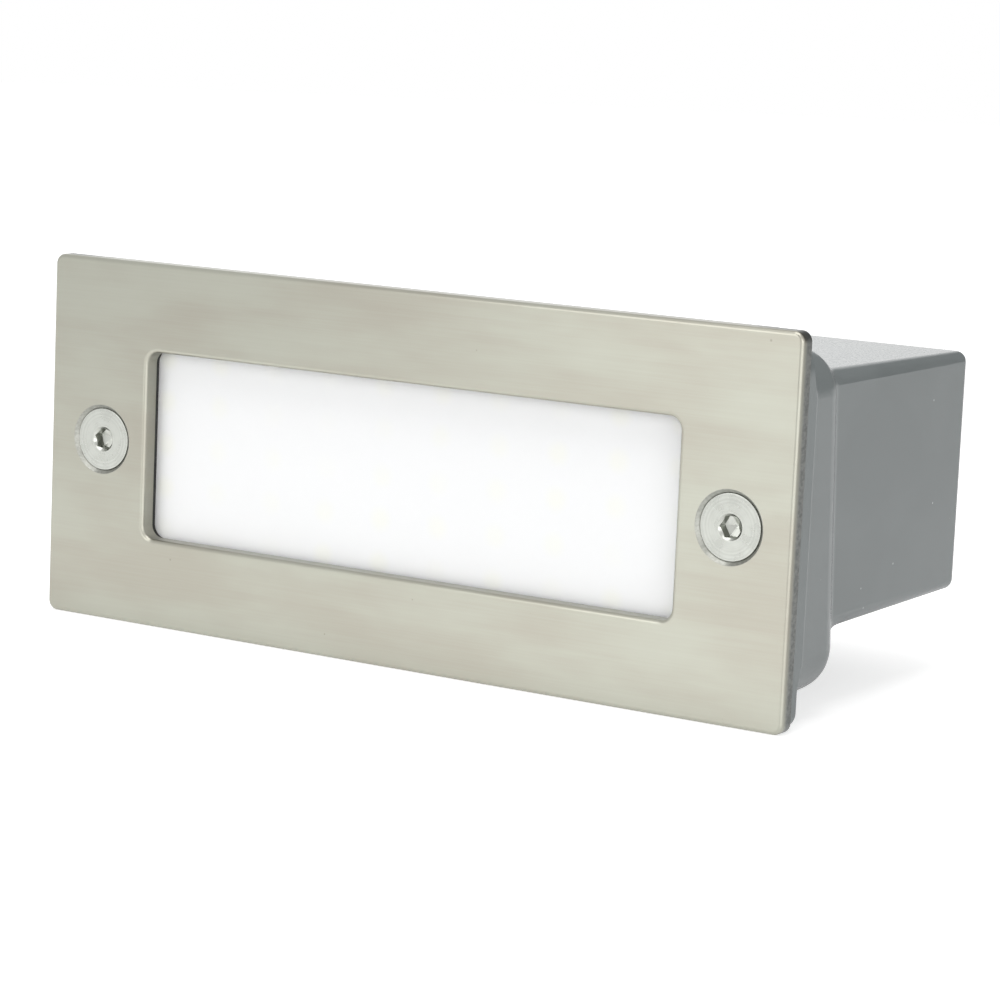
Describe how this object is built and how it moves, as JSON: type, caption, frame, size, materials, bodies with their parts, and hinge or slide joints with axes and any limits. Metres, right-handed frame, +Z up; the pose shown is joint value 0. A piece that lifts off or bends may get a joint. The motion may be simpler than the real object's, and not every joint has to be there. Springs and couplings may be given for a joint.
{
  "type": "recessed led step light",
  "caption": "Rectangular recessed step light with a brushed steel front plate, opal diffuser, countersunk hexagon-socket screws and a stepped moulded housing with a rear cable gland.",
  "frame": {"origin": "centre of the wall opening, in the plane of the wall's surface against which the flange's rear edge rests", "axes": "+X along the front plate's length, +Y into the wall, +Z up"},
  "size_m": [0.17, 0.1002, 0.073],
  "materials": {
    "bezel_steel": "brushed along its length",
    "gasket_rubber": "matt",
    "opal_acrylic": "opal, satin",
    "seal_foam": "fine closed-cell foam",
    "screw_steel": "bright turned steel",
    "ring_rubber": "smooth",
    "insert_brass": "turned",
    "housing_plastic": "fine moulded, semi-gloss",
    "tray_plastic": "white, satin",
    "plated_steel": "zinc plated",
    "board_white": "white solder mask",
    "chip_phosphor": "yellow phosphor",
    "plug_nylon": "natural nylon",
    "driver_plastic": "fine texture",
    "circuit_board": "green solder mask",
    "terminal_green": "moulded",
    "transformer_tape": "yellow film tape",
    "capacitor_sleeve": "shrink sleeve",
    "terminal_nylon": "natural nylon",
    "lead_brown": "insulation",
    "lead_blue": "insulation",
    "lead_red": "insulation",
    "lead_black": "insulation",
    "gland_nylon": "black nylon"
  },
  "bodies": {
    "housing_body": {"housing": "housing_plastic", "threaded_insert_left": "insert_brass", "threaded_insert_right": "insert_brass", "diffuser_seal": "seal_foam", "light_tray": "tray_plastic", "tray_screws": "plated_steel", "led_board": "board_white", "led_chips": "chip_phosphor", "led_board_screws": "plated_steel", "led_plug": "plug_nylon", "driver_case": "driver_plastic", "driver_lid": "driver_plastic", "driver_board": "circuit_board", "driver_plugs": "terminal_green", "driver_transformer": "transformer_tape", "driver_capacitors": "capacitor_sleeve", "driver_screws": "plated_steel", "terminal_block": "terminal_nylon", "terminal_cages": "insert_brass", "terminal_screws": "plated_steel", "terminal_fixing_screw": "plated_steel", "supply_lead_live": "lead_brown", "supply_lead_neutral": "lead_blue", "led_lead_positive": "lead_red", "led_lead_negative": "lead_black", "gland_washer": "gasket_rubber", "gland_body": "gland_nylon", "gland_locknut": "gland_nylon", "gland_seal": "ring_rubber"},
    "front": {"front_bezel": "bezel_steel", "bezel_gasket": "gasket_rubber", "opal_diffuser": "opal_acrylic"},
    "ring_left": {"screw_ring_left": "ring_rubber"},
    "screw_left": {"bezel_screw_left": "screw_steel"},
    "ring_right": {"screw_ring_right": "ring_rubber"},
    "screw_right": {"bezel_screw_right": "screw_steel"},
    "gland_claw_ring": {"gland_claw": "gland_nylon"},
    "gland_dome_nut": {"gland_nut": "gland_nylon"}
  },
  "joints": [
    {"name": "front_lift_off", "type": "slide", "parent": "housing_body", "child": "front", "axis": [0, -1, 0], "range_m": [0, 0.06]},
    {"name": "screw_left_travel", "type": "slide", "parent": "front", "child": "ring_left", "axis": [0, -1, 0], "range_m": [0, 0.015]},
    {"name": "screw_left_turn", "type": "hinge", "parent": "ring_left", "child": "screw_left", "pos_m": [-0.072, 0, 0], "axis": [0, -1, 0], "range_deg": [0, 5400]},
    {"name": "screw_right_travel", "type": "slide", "parent": "front", "child": "ring_right", "axis": [0, -1, 0], "range_m": [0, 0.015]},
    {"name": "screw_right_turn", "type": "hinge", "parent": "ring_right", "child": "screw_right", "pos_m": [0.072, 0, 0], "axis": [0, -1, 0], "range_deg": [0, 5400]},
    {"name": "gland_nut_travel", "type": "slide", "parent": "housing_body", "child": "gland_claw_ring", "axis": [0, 1, 0], "range_m": [0, 0.003]},
    {"name": "gland_nut_turn", "type": "hinge", "parent": "gland_claw_ring", "child": "gland_dome_nut", "pos_m": [-0.052, 0, 0.0036], "axis": [0, 1, 0], "range_deg": [0, 720]}
  ],
  "couplings": [
    {"joint": "screw_left_turn", "follows": "screw_left_travel", "rad_per_m": 6283.2},
    {"joint": "screw_right_turn", "follows": "screw_right_travel", "rad_per_m": 6283.2},
    {"joint": "gland_nut_turn", "follows": "gland_nut_travel", "rad_per_m": 4188.8}
  ]
}
